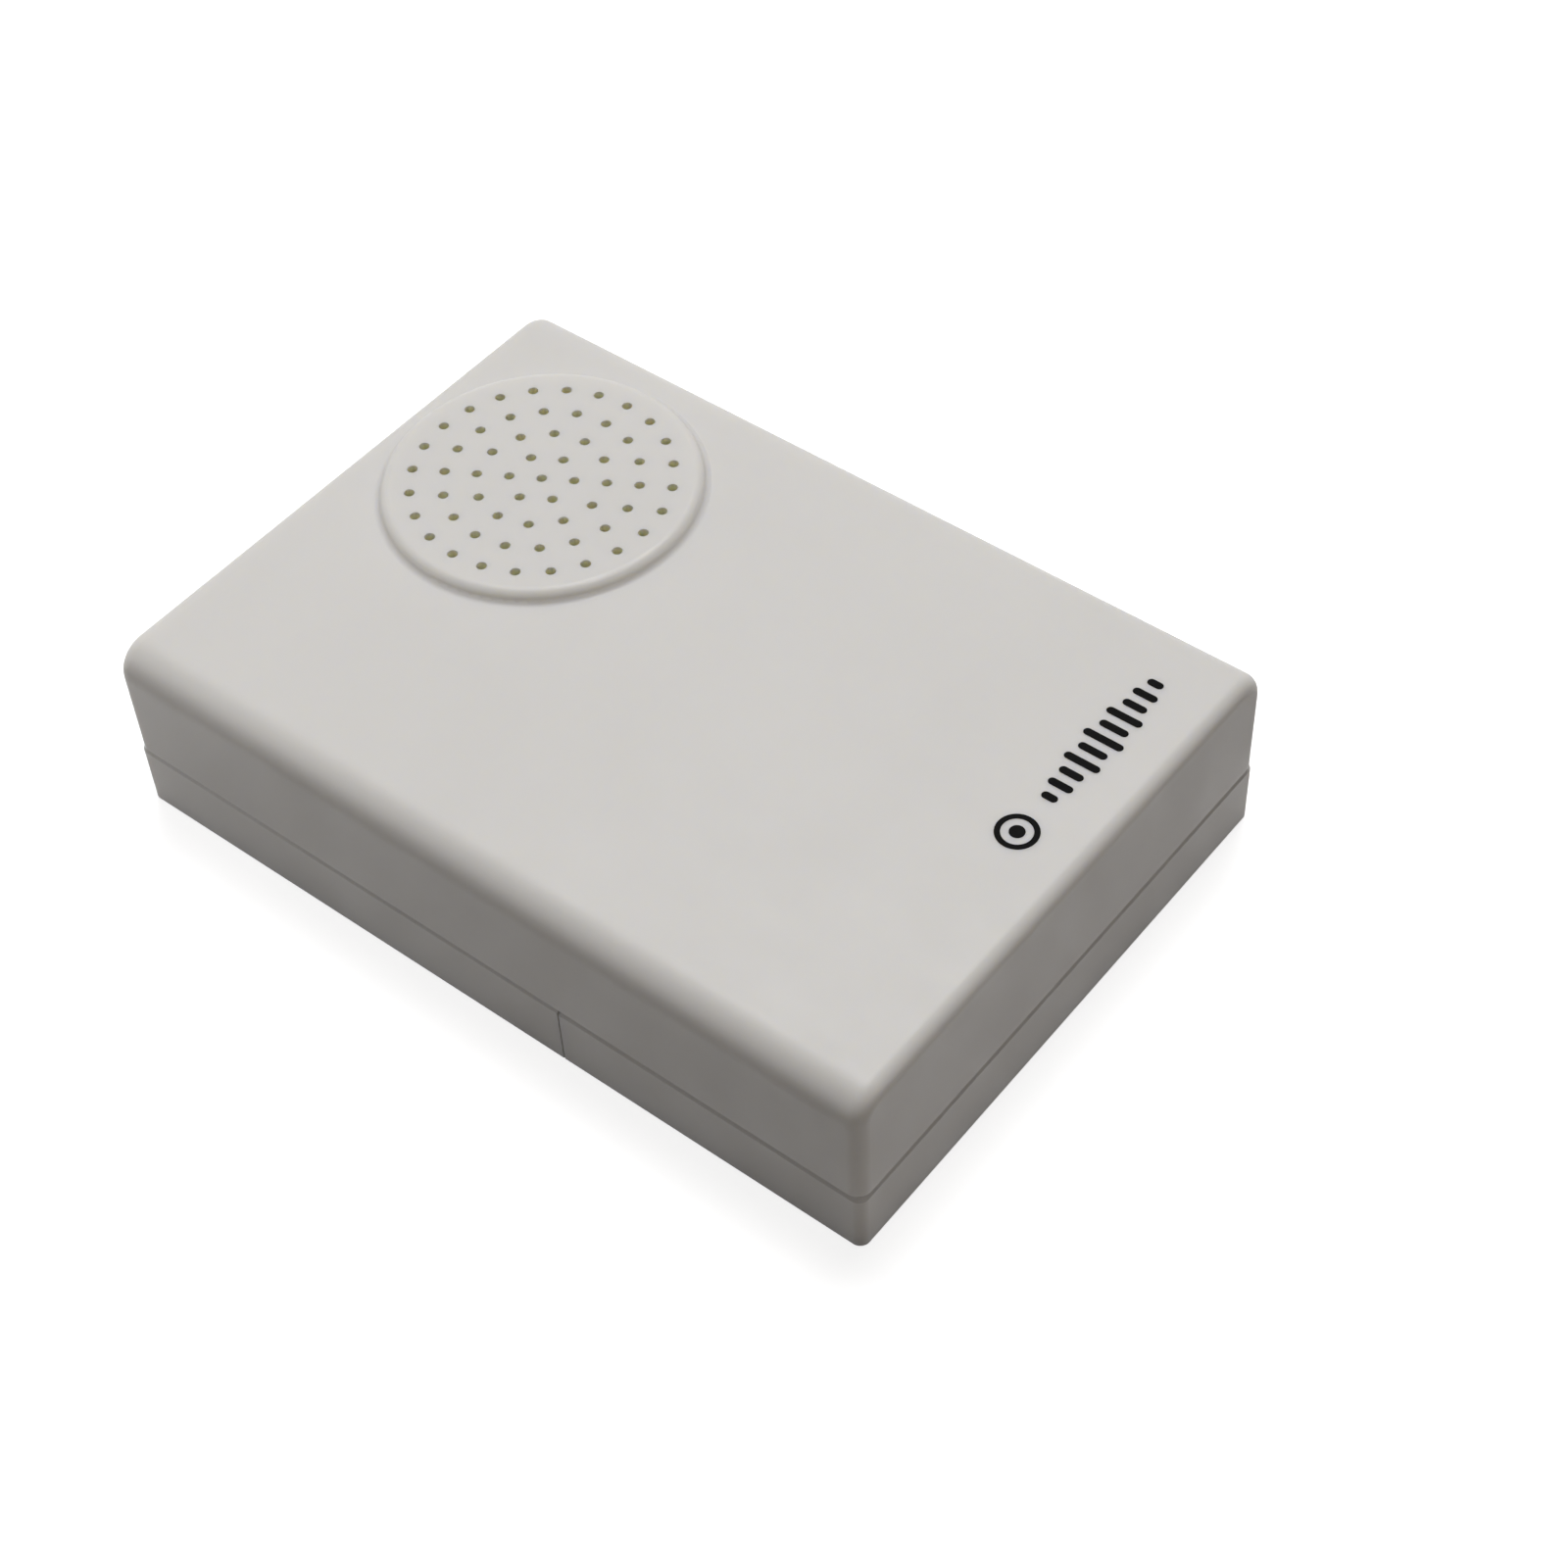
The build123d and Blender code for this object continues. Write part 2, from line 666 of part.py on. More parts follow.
def speaker_frame():
    """Stamped basket: rim, coned wall with windows, and floor."""
    rim = ring(grille_x, grille_y, rim_foot, rim_top, speaker_radius, speaker_rim_inner)
    wall = turned([
        (basket_top_radius, rim_foot), (basket_floor_radius, basket_floor_foot),
        (basket_floor_radius - basket_sheet, basket_floor_top),
        (speaker_rim_inner, rim_foot), (speaker_rim_inner, rim_top),
        (basket_top_radius, rim_top)])
    window_foot = basket_floor_top + basket_sheet
    window_top = rim_foot - basket_sheet
    for number in range(basket_windows):
        window = slab(basket_floor_radius - 2 * basket_sheet, basket_top_radius + overrun,
                      -basket_window_width / 2, basket_window_width / 2, window_foot, window_top)
        angle = tag_board_angle + basket_window_angle + number * 360 / basket_windows
        wall = wall - at_speaker(angle, window)
    floor = ring(grille_x, grille_y, basket_floor_foot, basket_floor_top,
                 basket_floor_radius, yoke_inner_radius)
    return rim + wall + floor


def speaker_yoke():
    """Steel pot under the basket."""
    cup = post(grille_x, grille_y, yoke_foot, basket_floor_foot, yoke_radius)
    return cup - post(grille_x, grille_y, yoke_foot + yoke_floor, basket_floor_foot + overrun,
                      yoke_inner_radius)


def speaker_magnet():
    """Round magnet on the pot's floor."""
    foot = yoke_foot + yoke_floor
    return post(grille_x, grille_y, foot, foot + magnet_height, magnet_radius)


def speaker_pole_plate():
    """Round steel plate on the magnet."""
    foot = yoke_foot + yoke_floor + magnet_height
    return post(grille_x, grille_y, foot, foot + pole_height, pole_radius)


def voice_coil():
    """Coil on its former, in the ring gap."""
    top = basket_floor_top + coil_rise
    return ring(grille_x, grille_y, top - coil_height, top, coil_outer_radius, coil_inner_radius)


def speaker_diaphragm():
    """Film diaphragm: dome, cone and half-roll surround, one sheet thick."""
    foot = basket_floor_top + coil_rise
    crest = foot + cone_rise
    end = cone_outer_radius + roll_width
    lower = [
        ThreePointArc((0, foot + dome_rise),
                      (coil_inner_radius * dome_middle_share, foot + dome_rise * dome_height_share),
                      (coil_inner_radius, foot)),
        Line((coil_inner_radius, foot), (coil_outer_radius, foot)),
        Line((coil_outer_radius, foot), (cone_outer_radius, crest)),
        ThreePointArc((cone_outer_radius, crest), (cone_outer_radius + roll_width / 2, crest + roll_rise),
                      (end, crest)),
    ]
    upper = [Pos(0, cone_sheet) * edge for edge in lower]
    closing = [Line((0, foot + dome_rise), (0, foot + dome_rise + cone_sheet)),
               Line((end, crest), (end, crest + cone_sheet))]
    face = make_face(Plane.XZ * (Curve() + lower + upper + closing))
    return Pos(grille_x, grille_y, 0) * revolve(face, axis=Axis.Z)


def speaker_gasket():
    """Foam ring between the speaker's rim and the front cover."""
    return ring(grille_x, grille_y, rim_top, ceiling, speaker_radius - gasket_play, gasket_inner_radius)


def speaker_tag_board():
    """Fibre board under the speaker's rim that carries the two tags."""
    board = slab(tag_board_inner, tag_board_outer, -tag_board_width / 2, tag_board_width / 2,
                 rim_foot - tag_board_sheet, rim_foot)
    return at_speaker(tag_board_angle, board)


def speaker_tags():
    """Two solder tags under the tag board."""
    top = rim_foot - tag_board_sheet
    tags = []
    for y in (-tag_spread / 2, tag_spread / 2):
        tag = slab(tag_inner, tag_outer, y - tag_width / 2, y + tag_width / 2, top - tag_sheet, top)
        rivet = post((tag_inner + tag_board_outer) / 2, y, top - 2 * tag_sheet, top - tag_sheet,
                     tag_width / 3)
        tags.append(at_speaker(tag_board_angle, tag + rivet))
    return tags


def circuit_board():
    """Board with holes for its two screws and its locating pin."""
    board = slab(board_x_low, board_x_high, board_y_low, board_y_high, board_bottom, board_top)
    screws, pins = board_post_spots()
    for x, y in screws + pins:
        board = board - post(x, y, board_bottom - overrun, board_top + overrun,
                             board_screw_radius + board_hole_clearance)
    return board


def board_screws():
    """Two pan-head screws that hold the circuit board."""
    screws = []
    for x, y in board_post_spots()[0]:
        head_top = board_top + board_screw_head_height
        screw = post(x, y, board_top, head_top, board_screw_head_radius)
        screw = screw + post(x, y, board_top - board_screw_reach, board_top, board_screw_radius)
        half = board_screw_head_radius * 2 / 3
        for length, width in ((half, recess_width / 2), (recess_width / 2, half)):
            screw = screw - slab(x - length, x + length, y - width, y + width,
                                 head_top - recess_depth / 2, head_top + overrun)
        screws.append(screw)
    return screws


def block_poles():
    """Plan places of the terminal block's two poles."""
    x = board_x_high - block_inset - block_length / 2
    y = board_y_high - block_inset - block_depth / 2
    return [(x - block_length / 4, y), (x + block_length / 4, y)]


def terminal_block():
    """Two-pole block with a wire mouth and a screw well for each pole."""
    x_high = board_x_high - block_inset
    y_high = board_y_high - block_inset
    block = slab(x_high - block_length, x_high, y_high - block_depth, y_high,
                 board_top, block_top)
    cavity_foot = board_top + block_floor
    for x, y in block_poles():
        half_width_inside = cage_width / 2 + cage_clearance
        half_depth_inside = cage_depth / 2 + cage_clearance
        block = block - slab(x - half_width_inside, x + half_width_inside, y - half_depth_inside,
                             y + half_depth_inside, cavity_foot, cavity_foot + cage_height + cage_clearance)
        block = block - post(x, y, cavity_foot + cage_height, block_top + overrun,
                             block_screw_head_radius + cage_clearance)
        mouth_z = cavity_foot + cage_wall + mouth_radius
        mouth = Pos(x, y + block_depth / 2, mouth_z) * Rot(90, 0, 0) * Cylinder(mouth_radius, block_depth)
        block = block - mouth
    return block


def terminal_clamps():
    """Brass cages that grip the bell wires."""
    clamps = []
    foot = board_top + block_floor
    for x, y in block_poles():
        cage = slab(x - cage_width / 2, x + cage_width / 2, y - cage_depth / 2, y + cage_depth / 2,
                    foot, foot + cage_height)
        inside = cage_width / 2 - cage_wall
        cage = cage - slab(x - inside, x + inside, y - block_depth, y + block_depth,
                           foot + cage_wall, foot + cage_wall + 2 * mouth_radius)
        cage = cage - post(x, y, foot + cage_height - block_screw_depth - overrun,
                           foot + cage_height + overrun, block_screw_radius + pilot_clearance)
        clamps.append(cage)
    return clamps


def terminal_screws():
    """Two slotted screws in the terminal block."""
    screws = []
    foot = board_top + block_floor + cage_height
    for x, y in block_poles():
        top = foot + block_screw_head_height
        screw = post(x, y, foot, top, block_screw_head_radius)
        screw = screw + post(x, y, foot - block_screw_depth, foot, block_screw_radius)
        screw = screw - slab(x - block_screw_head_radius, x + block_screw_head_radius,
                             y - block_screw_slot / 2, y + block_screw_slot / 2,
                             top - block_screw_slot, top + overrun)
        screws.append(screw)
    return screws


def melody_board():
    """Small board that stands upright on the circuit board."""
    return slab(melody_x - melody_length / 2, melody_x + melody_length / 2,
                melody_y - melody_sheet / 2, melody_y + melody_sheet / 2,
                board_top, melody_top)


def melody_chip():
    """Resin blob over the melody chip, a low dome on the upright board."""
    sphere_radius = (chip_radius ** 2 + chip_rise ** 2) / (2 * chip_rise)
    face_y = melody_y - melody_sheet / 2
    z = (board_top + melody_top) / 2
    dome = Pos(melody_x, face_y - chip_rise + sphere_radius, z) * Sphere(sphere_radius)
    reach = 2 * sphere_radius
    keep = slab(melody_x - reach, melody_x + reach, face_y - reach, face_y, z - reach, z + reach)
    return dome & keep


def electrolytic_capacitors():
    """Two upright cans with a rolled edge and a groove near the foot."""
    cans = []
    y = board_y_high - capacitor_from_top
    for x in (board_x_low + capacitor_from_low, board_x_low + capacitor_from_low + capacitor_pitch):
        can = post(x, y, board_top, capacitor_top, capacitor_radius)
        can = fillet(can.faces().sort_by(Axis.Z)[-1].edges(), capacitor_edge)
        groove = Pos(x, y, board_top + capacitor_radius / 2) * Torus(capacitor_radius, capacitor_groove)
        cans.append(can - groove)
    return cans


def ceramic_capacitor():
    """Disc capacitor on two leads."""
    z = board_top + lead_rise + disc_capacitor_radius
    disc = Pos(disc_capacitor_x, disc_capacitor_y, z) * Rot(90, 0, 0)
    disc = disc * Cylinder(disc_capacitor_radius, disc_capacitor_thickness)
    edges = disc.edges().filter_by(GeomType.CIRCLE)
    disc = fillet(edges, disc_capacitor_thickness / 3)
    half = disc_capacitor_radius / 2
    return joined([disc] + [post(disc_capacitor_x + x, disc_capacitor_y, board_top, z, lead_radius)
                            for x in (-half, half)])


def driver_transistor():
    """Half-round transistor on three legs."""
    foot = board_top + lead_rise
    body = post(transistor_x, transistor_y, foot, foot + transistor_height, transistor_radius)
    keep = slab(transistor_x - transistor_radius, transistor_x + transistor_radius,
                transistor_y - transistor_flat, transistor_y + transistor_radius,
                foot, foot + transistor_height)
    legs = [post(transistor_x + side * transistor_pitch, transistor_y, board_top, foot + lead_rise,
                 lead_radius) for side in (-1, 0, 1)]
    return joined([body & keep] + legs)


def resistors():
    """Axial resistors lying along the board, with their bent leads."""
    parts = []
    x = board_x_high - resistor_from_high
    z = board_top + resistor_radius + lead_radius
    for number in range(resistor_count):
        y = board_y_low + resistor_from_side + number * resistor_pitch
        body = Pos(x, y, z) * Rot(0, 90, 0) * Cylinder(resistor_radius, resistor_length)
        body = fillet(body.edges().filter_by(GeomType.CIRCLE), resistor_radius / 3)
        waist = Pos(x, y, z) * Rot(0, 90, 0)
        waist = waist * (Cylinder(resistor_radius + overrun, resistor_length / 2)
                         - Cylinder(resistor_radius - resistor_waist, resistor_length))
        lead = Pos(x, y, z) * Rot(0, 90, 0) * Cylinder(lead_radius, resistor_span)
        reach = resistor_span / 2 - lead_radius
        legs = [post(x + side * reach, y, board_top, z + lead_radius, lead_radius) for side in (-1, 1)]
        parts.append(joined([body - waist, lead] + legs))
    return parts


def battery_cell(x, nub_side):
    """Round cell lying across the box, its nub towards nub_side."""
    half = cell_length / 2
    can_length = cell_length - cell_nub_height
    middle = nub_side * (contact_face - contact_dimple - cell_play - half)
    can = Cylinder(cell_radius, can_length)
    can = fillet(can.edges().filter_by(GeomType.CIRCLE), cell_edge)
    nub = Pos(0, 0, can_length / 2) * Cylinder(cell_nub_radius, cell_nub_height, align=FROM_BASE)
    nub = fillet(nub.faces().sort_by(Axis.Z)[-1].edges(), cell_edge / 2)
    cell = Pos(0, 0, -cell_nub_height / 2) * (can + nub)
    return Pos(x, middle, cell_z) * Rot(-90 * nub_side, 0, 0) * cell


def contact_sheet_part(side, x0, x1, z0, z1):
    """Flat strip of contact sheet against the tray's end wall."""
    faces = sorted((side * contact_face, side * tray_y_inner))
    return slab(x0, x1, faces[0], faces[1], z0, z1)


def dimple(side, x):
    """Raised button that meets a cell's nub."""
    button = Cylinder(contact_dimple_radius, contact_dimple, align=FROM_BASE)
    button = fillet(button.faces().sort_by(Axis.Z)[-1].edges(), contact_dimple / 2)
    return Pos(x, side * contact_face, cell_z) * Rot(90 * side, 0, 0) * button


def negative_contact():
    """Plate behind the spring of the first cell, with its solder tag."""
    half = contact_width / 2
    plate = contact_sheet_part(-1, cell_a_x - half, cell_a_x + half, contact_foot, contact_top)
    tag = contact_sheet_part(-1, tag_tip_x, cell_a_x, negative_tag_z, negative_tag_z + tag_height)
    return plate + tag


def positive_contact():
    """Plate at the second cell's nub, with a strip that runs to its solder tag."""
    half = contact_width / 2
    plate = contact_sheet_part(-1, cell_b_x - half, cell_b_x + half, contact_foot,
                               positive_tag_z + tag_height)
    tag = contact_sheet_part(-1, tag_tip_x, cell_b_x, positive_tag_z, positive_tag_z + tag_height)
    return plate + tag + dimple(-1, cell_b_x)


def link_contact():
    """Plate that joins the two cells at the far end."""
    plate = contact_sheet_part(1, cell_a_x - link_margin, cell_b_x + link_margin,
                               contact_foot, contact_top)
    return plate + dimple(1, cell_a_x)


def contact_spring(side, x):
    """Coned spring of one wire, wide at its plate and narrow at the cell."""
    rise = spring_length - 2 * spring_wire_radius
    cone = -math.degrees(math.atan((spring_base_radius - spring_tip_radius) / rise))
    path = Helix(rise / spring_turns, rise, spring_base_radius, cone_angle=cone)
    start = Plane(origin=path @ 0, z_dir=path % 0)
    wire = sweep(start * Circle(spring_wire_radius), path=path)
    wire = Pos(0, 0, spring_wire_radius) * wire
    return Pos(x, side * contact_face, cell_z) * Rot(90 * side, 0, 0) * wire


def wire_along(points):
    """Round wire through the points, with a bend at each corner."""
    path = FilletPolyline(*points, radius=wire_bend)
    start = Plane(origin=path @ 0, z_dir=path % 0)
    return sweep(start * Circle(wire_radius), path=path)


def battery_wire(tag_z, y):
    """Wire from a solder tag of the battery tray to the circuit board."""
    z = tag_z + tag_height / 2
    start_y = -contact_face
    return wire_along([(battery_wire_x, start_y, z), (battery_wire_x, y, z),
                       (battery_wire_land_x, y, z), (battery_wire_land_x, y, board_top)])


def speaker_wires():
    """Two wires from the speaker's tags to the circuit board."""
    wires = []
    angle = math.radians(tag_board_angle)
    reach = (tag_board_outer + tag_outer) / 2
    land_y = board_y_high - speaker_land_from_top
    for side in (-1, 1):
        offset = side * tag_spread / 2
        x = grille_x + reach * math.cos(angle) - offset * math.sin(angle)
        y = grille_y + reach * math.sin(angle) + offset * math.cos(angle)
        land_x = board_x_high - speaker_land_from_high - (1 - side) / 2 * speaker_land_pitch
        wires.append(wire_along([(x, y, speaker_wire_top), (x, y, speaker_wire_z),
                                 (land_x, land_y, speaker_wire_z), (land_x, land_y, board_top)]))
    return wires


NODES = {
    "front_cover": front_cover,
    "rear_shell": rear_shell,
    "battery_door": battery_door,
    "case_screws": case_screws,
    "speaker_frame": speaker_frame,
    "speaker_yoke": speaker_yoke,
    "speaker_magnet": speaker_magnet,
    "speaker_pole_plate": speaker_pole_plate,
    "speaker_diaphragm": speaker_diaphragm,
    "voice_coil": voice_coil,
    "speaker_gasket": speaker_gasket,
    "speaker_tag_board": speaker_tag_board,
    "speaker_tags": speaker_tags,
    "circuit_board": circuit_board,
    "board_screws": board_screws,
    "terminal_block": terminal_block,
    "terminal_clamps": terminal_clamps,
    "terminal_screws": terminal_screws,
    "melody_board": melody_board,
    "melody_chip": melody_chip,
    "electrolytic_capacitors": electrolytic_capacitors,
    "ceramic_capacitor": ceramic_capacitor,
    "driver_transistor": driver_transistor,
    "resistors": resistors,
    "battery_cell_a": lambda: battery_cell(cell_a_x, 1),
    "battery_cell_b": lambda: battery_cell(cell_b_x, -1),
    "negative_contact": negative_contact,
    "negative_spring": lambda: contact_spring(-1, cell_a_x),
    "positive_contact": positive_contact,
    "link_contact": link_contact,
    "link_spring": lambda: contact_spring(1, cell_b_x),
    "negative_wire": lambda: battery_wire(negative_tag_z, negative_wire_y),
    "positive_wire": lambda: battery_wire(positive_tag_z, positive_wire_y),
    "speaker_wires": speaker_wires,
}

os.makedirs("parts", exist_ok=True)
for name, make in NODES.items():
    solids = make()
    shape = Compound(children=solids) if isinstance(solids, list) else solids
    export_step(shape, f"parts/{name}.step")
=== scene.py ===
"""Looks of the doorbell chime box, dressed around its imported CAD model.

Everything is in metres, in the CAD's own frame: the back lies on z = 0, +X runs from the grille end
to the battery end, and +Z points out of the front face.
"""

import json
import math

import bmesh
import bpy
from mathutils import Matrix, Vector


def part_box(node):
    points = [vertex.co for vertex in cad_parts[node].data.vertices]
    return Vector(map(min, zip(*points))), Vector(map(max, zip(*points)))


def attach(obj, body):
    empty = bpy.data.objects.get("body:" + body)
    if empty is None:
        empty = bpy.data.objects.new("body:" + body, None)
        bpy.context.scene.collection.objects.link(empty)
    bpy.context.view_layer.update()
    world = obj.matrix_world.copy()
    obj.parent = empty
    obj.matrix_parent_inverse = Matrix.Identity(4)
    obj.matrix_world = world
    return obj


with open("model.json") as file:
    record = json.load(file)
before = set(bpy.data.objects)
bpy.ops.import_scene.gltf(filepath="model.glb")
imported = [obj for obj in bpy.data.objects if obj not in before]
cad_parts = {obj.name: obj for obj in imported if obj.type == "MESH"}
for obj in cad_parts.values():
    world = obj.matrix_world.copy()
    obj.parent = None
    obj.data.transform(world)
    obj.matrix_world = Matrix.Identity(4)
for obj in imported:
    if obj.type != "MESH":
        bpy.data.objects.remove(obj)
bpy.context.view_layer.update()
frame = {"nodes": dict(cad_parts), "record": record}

MM = 0.001

# Camera, fitted to the photograph's edges and grille holes: metres, degrees and millimetres of film
CAMERA_PLACE = (0.139680, -0.148534, 0.235552)
CAMERA_ANGLES = (41.0776, 2.1467, 38.1295)
CAMERA_LENS = 68.45
CAMERA_SENSOR = 36.0
CAMERA_CLIP = 1 * MM

# Floor: where it is seen it glows, more so far out, and its diffuse part shows the shadow
FLOOR_SIZE = 6.0
FLOOR_DROP = 0.05 * MM
FLOOR_BOUNCE = (0.27, 0.255, 0.245)
FLOOR_GLOW = 0.80
FLOOR_FADE_FROM = 0.25
FLOOR_FADE_TO = 0.9
FLOOR_SHADOW_DEPTH = 0.55

# Sky and lamps, in metres and watts
SKY_FILL = 0.120
SKY_TINT = (1.0, 0.94, 0.90)
WHITE = (1, 1, 1)
KEY_PLACE = (-0.15, 0.24, 0.80)
KEY_SIZE = 0.4
KEY_WATTS = 5.70
SIDE_PLACE = (-0.11, -0.09, 0.05)
SIDE_SIZE = 0.06
SIDE_WATTS = 0.016
FRONT_PLACE = (0.40, -0.10, 0.06)
FRONT_SIZE = 0.12
FRONT_WATTS = 0.075
FRONT_TINT = (1.0, 0.92, 0.85)

# Colours of the case and its print, as linear light; the other pieces' stand in their functions
CASING = (0.668, 0.655, 0.634)
INK = (0.003, 0.003, 0.003)

# Painted light on the walls of the grille's holes: paler and more olive than the face, standing in for
# light that scatters through the plastic
HOLE_WALL_PAINTED_LIGHT = (0.79, 0.785, 0.64)
HOLE_LIGHT_FROM = 0.1 * MM      # depths under the flat of the grille disc
HOLE_LIGHT_FULL = 0.5 * MM
HOLE_LIGHT_END = 2.5 * MM       # past the cover's inner side
HOLE_FIELD_SHARE = 0.93         # of the speaker gasket's radius

# Sizes of the painted looks on the CAD pieces
WINDING_PITCH = 0.12 * MM
CAN_STRIPE_SHARE = 0.16         # of the cans' width
CAN_TOP_DEPTH = 0.25 * MM
RESISTOR_BODY_HALF_LENGTH = 3.16 * MM
RESISTOR_BAND_HALF_WIDTH = 0.27 * MM
RESISTOR_BANDS = (              # place from the body's middle, and colour
    (-1.9 * MM, (0.20, 0.06, 0.02)),
    (-0.9 * MM, (0.01, 0.01, 0.01)),
    (0.1 * MM, (0.55, 0.16, 0.02)),
    (1.7 * MM, (0.52, 0.34, 0.06)),
)
CELL_RIM_DEPTH = 0.7 * MM
CELL_NUB_DEPTH = 2.1 * MM
CELL_BAND_SHARE = 0.30          # of a cell's length

# Printed mark on the front face
DISC_RAISE = 1.3 * MM           # front face to the flat of the grille disc
INK_HEIGHT = 0.02 * MM
MARK_END_INSET = 7.4 * MM       # battery end to the middle of the mark
BUTTON_Y = 1.3 * MM
BUTTON_RING_OUTER = 2.2 * MM
BUTTON_RING_INNER = 1.6 * MM
BUTTON_DOT = 0.8 * MM
BAR_COUNT = 11
BAR_FIRST_Y = 6.6 * MM
BAR_PITCH = 1.8 * MM
BAR_HALF_WIDTH = 0.45 * MM
BAR_LEAST = 0.3 * MM            # half length of a bar at the row's ends
BAR_SWELL = 1.5 * MM            # by how much it grows towards the middle
SHORT_BAR_SHARE = 0.6           # growth of every other bar

# Pull of a large face on the shading of the small rounds beside it
NORMAL_WEIGHT = 60


def corner(node, which):
    """Low (0) or high (1) corner of a node's box."""
    return Vector(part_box(node)[which])


class Shader:
    """A material under construction: its nodes, its links and its main shader."""

    def __init__(self, name):
        self.material = bpy.data.materials.new(name)
        self.material.use_nodes = True
        self.tree = self.material.node_tree
        self.tree.nodes.clear()
        self.main = self.node("ShaderNodeBsdfPrincipled")
        output = self.node("ShaderNodeOutputMaterial")
        self.link(self.main.outputs[0], output.inputs["Surface"])
        self.place = self.node("ShaderNodeTexCoord").outputs["Object"]

    def node(self, kind, **settings):
        """A new node of the kind, with its own settings."""
        made = self.tree.nodes.new(kind)
        for name, value in settings.items():
            setattr(made, name, value)
        return made

    def link(self, source, target):
        """Joins an output to an input."""
        self.tree.links.new(source, target)

    def set(self, **values):
        """Plain values on the main shader's sockets."""
        for name, value in values.items():
            self.main.inputs[name.replace("_", " ")].default_value = value

    def stretched(self, scales):
        """Object coordinates, stretched along the axes."""
        mapping = self.node("ShaderNodeMapping")
        mapping.inputs["Scale"].default_value = scales
        self.link(self.place, mapping.inputs["Vector"])
        return mapping.outputs[0]

    def noise(self, feature, detail=2.0, rough=0.5, place=None):
        """Noise with features of about the given size, from 0 to 1."""
        made = self.node("ShaderNodeTexNoise")
        made.inputs["Scale"].default_value = 1 / feature
        made.inputs["Detail"].default_value = detail
        made.inputs["Roughness"].default_value = rough
        self.link(place or self.place, made.inputs["Vector"])
        return made.outputs[0]

    def cells(self, feature):
        """Distance to the nearest of many scattered points."""
        made = self.node("ShaderNodeTexVoronoi")
        made.inputs["Scale"].default_value = 1 / feature
        self.link(self.place, made.inputs["Vector"])
        return made.outputs["Distance"]

    def span(self, source, low, high, first=0.3, last=0.7):
        """A value spread from low to high as the source goes from first to last."""
        made = self.node("ShaderNodeMapRange")
        ends = (("From Min", first), ("From Max", last), ("To Min", low), ("To Max", high))
        for name, value in ends:
            made.inputs[name].default_value = value
        self.link(source, made.inputs["Value"])
        return made.outputs[0]

    def blend(self, factor, first, second):
        """Colour between two colours or sockets."""
        made = self.node("ShaderNodeMix", data_type="RGBA")
        self.link(factor, made.inputs[0])
        for socket, value in ((made.inputs[6], first), (made.inputs[7], second)):
            if isinstance(value, bpy.types.NodeSocket):
                self.link(value, socket)
            else:
                socket.default_value = (*value, 1)
        return made.outputs[2]

    def coordinate(self, axis):
        """One object coordinate, in metres."""
        made = self.node("ShaderNodeSeparateXYZ")
        self.link(self.place, made.inputs[0])
        return made.outputs[axis]

    def reckon(self, operation, first, second=None):
        """A math node on sockets or numbers."""
        made = self.node("ShaderNodeMath", operation=operation)
        for socket, value in zip(made.inputs, (first, second)):
            if value is None:
                continue
            if isinstance(value, bpy.types.NodeSocket):
                self.link(value, socket)
            else:
                socket.default_value = value
        return made.outputs[0]

    def bump(self, height, depth):
        """Bump of a real depth on the main shader, on top of any bump it has."""
        made = self.node("ShaderNodeBump")
        made.inputs["Distance"].default_value = depth
        self.link(height, made.inputs["Height"])
        normal = self.main.inputs["Normal"]
        if normal.is_linked:
            self.link(normal.links[0].from_socket, made.inputs["Normal"])
        self.link(made.outputs[0], normal)

    def colour(self, socket):
        """Links the socket to the base colour."""
        self.link(socket, self.main.inputs["Base Color"])

    def roughness(self, socket):
        """Links the socket to the roughness."""
        self.link(socket, self.main.inputs["Roughness"])


def tint(colour, share):
    """The colour, lighter or darker by a share."""
    return tuple(min(1.0, part * (1 + share)) for part in colour)


def plastic(name, colour, rough=(0.38, 0.5), mottle=0.03, patch=14 * MM, grain=0.16 * MM,
            depth=0.006 * MM):
    """Moulded plastic: faint patches of tone and gloss over a fine spark texture."""
    shader = Shader(name)
    tone = shader.span(shader.noise(patch, detail=4), 0, 1)
    shader.colour(shader.blend(tone, tint(colour, -mottle), tint(colour, mottle)))
    gloss = shader.noise(patch / 3, detail=3, place=shader.stretched((1, 1.7, 1)))
    shader.roughness(shader.span(gloss, *rough))
    shader.bump(shader.noise(grain, detail=1), depth)
    return shader


def painted_light_in_holes(shader):
    """1 on the walls of the grille's holes, where the casing gets painted light, 0 on the rest of the
    casing.
    """
    low = corner("speaker_gasket", 0)
    high = corner("speaker_gasket", 1)
    squares = []
    for axis in (0, 1):
        away = shader.reckon("SUBTRACT", shader.coordinate(axis), (low[axis] + high[axis]) / 2)
        squares.append(shader.reckon("MULTIPLY", away, away))
    radius = shader.reckon("SQRT", shader.reckon("ADD", *squares))
    field = shader.reckon("LESS_THAN", radius, (high.x - low.x) / 2 * HOLE_FIELD_SHARE)
    depth = shader.reckon("SUBTRACT", corner("front_cover", 1).z, shader.coordinate(2))
    sunk = shader.span(depth, 0, 1, first=HOLE_LIGHT_FROM, last=HOLE_LIGHT_FULL)
    plate = shader.reckon("LESS_THAN", depth, HOLE_LIGHT_END)
    return shader.reckon("MULTIPLY", field, shader.reckon("MULTIPLY", sunk, plate))


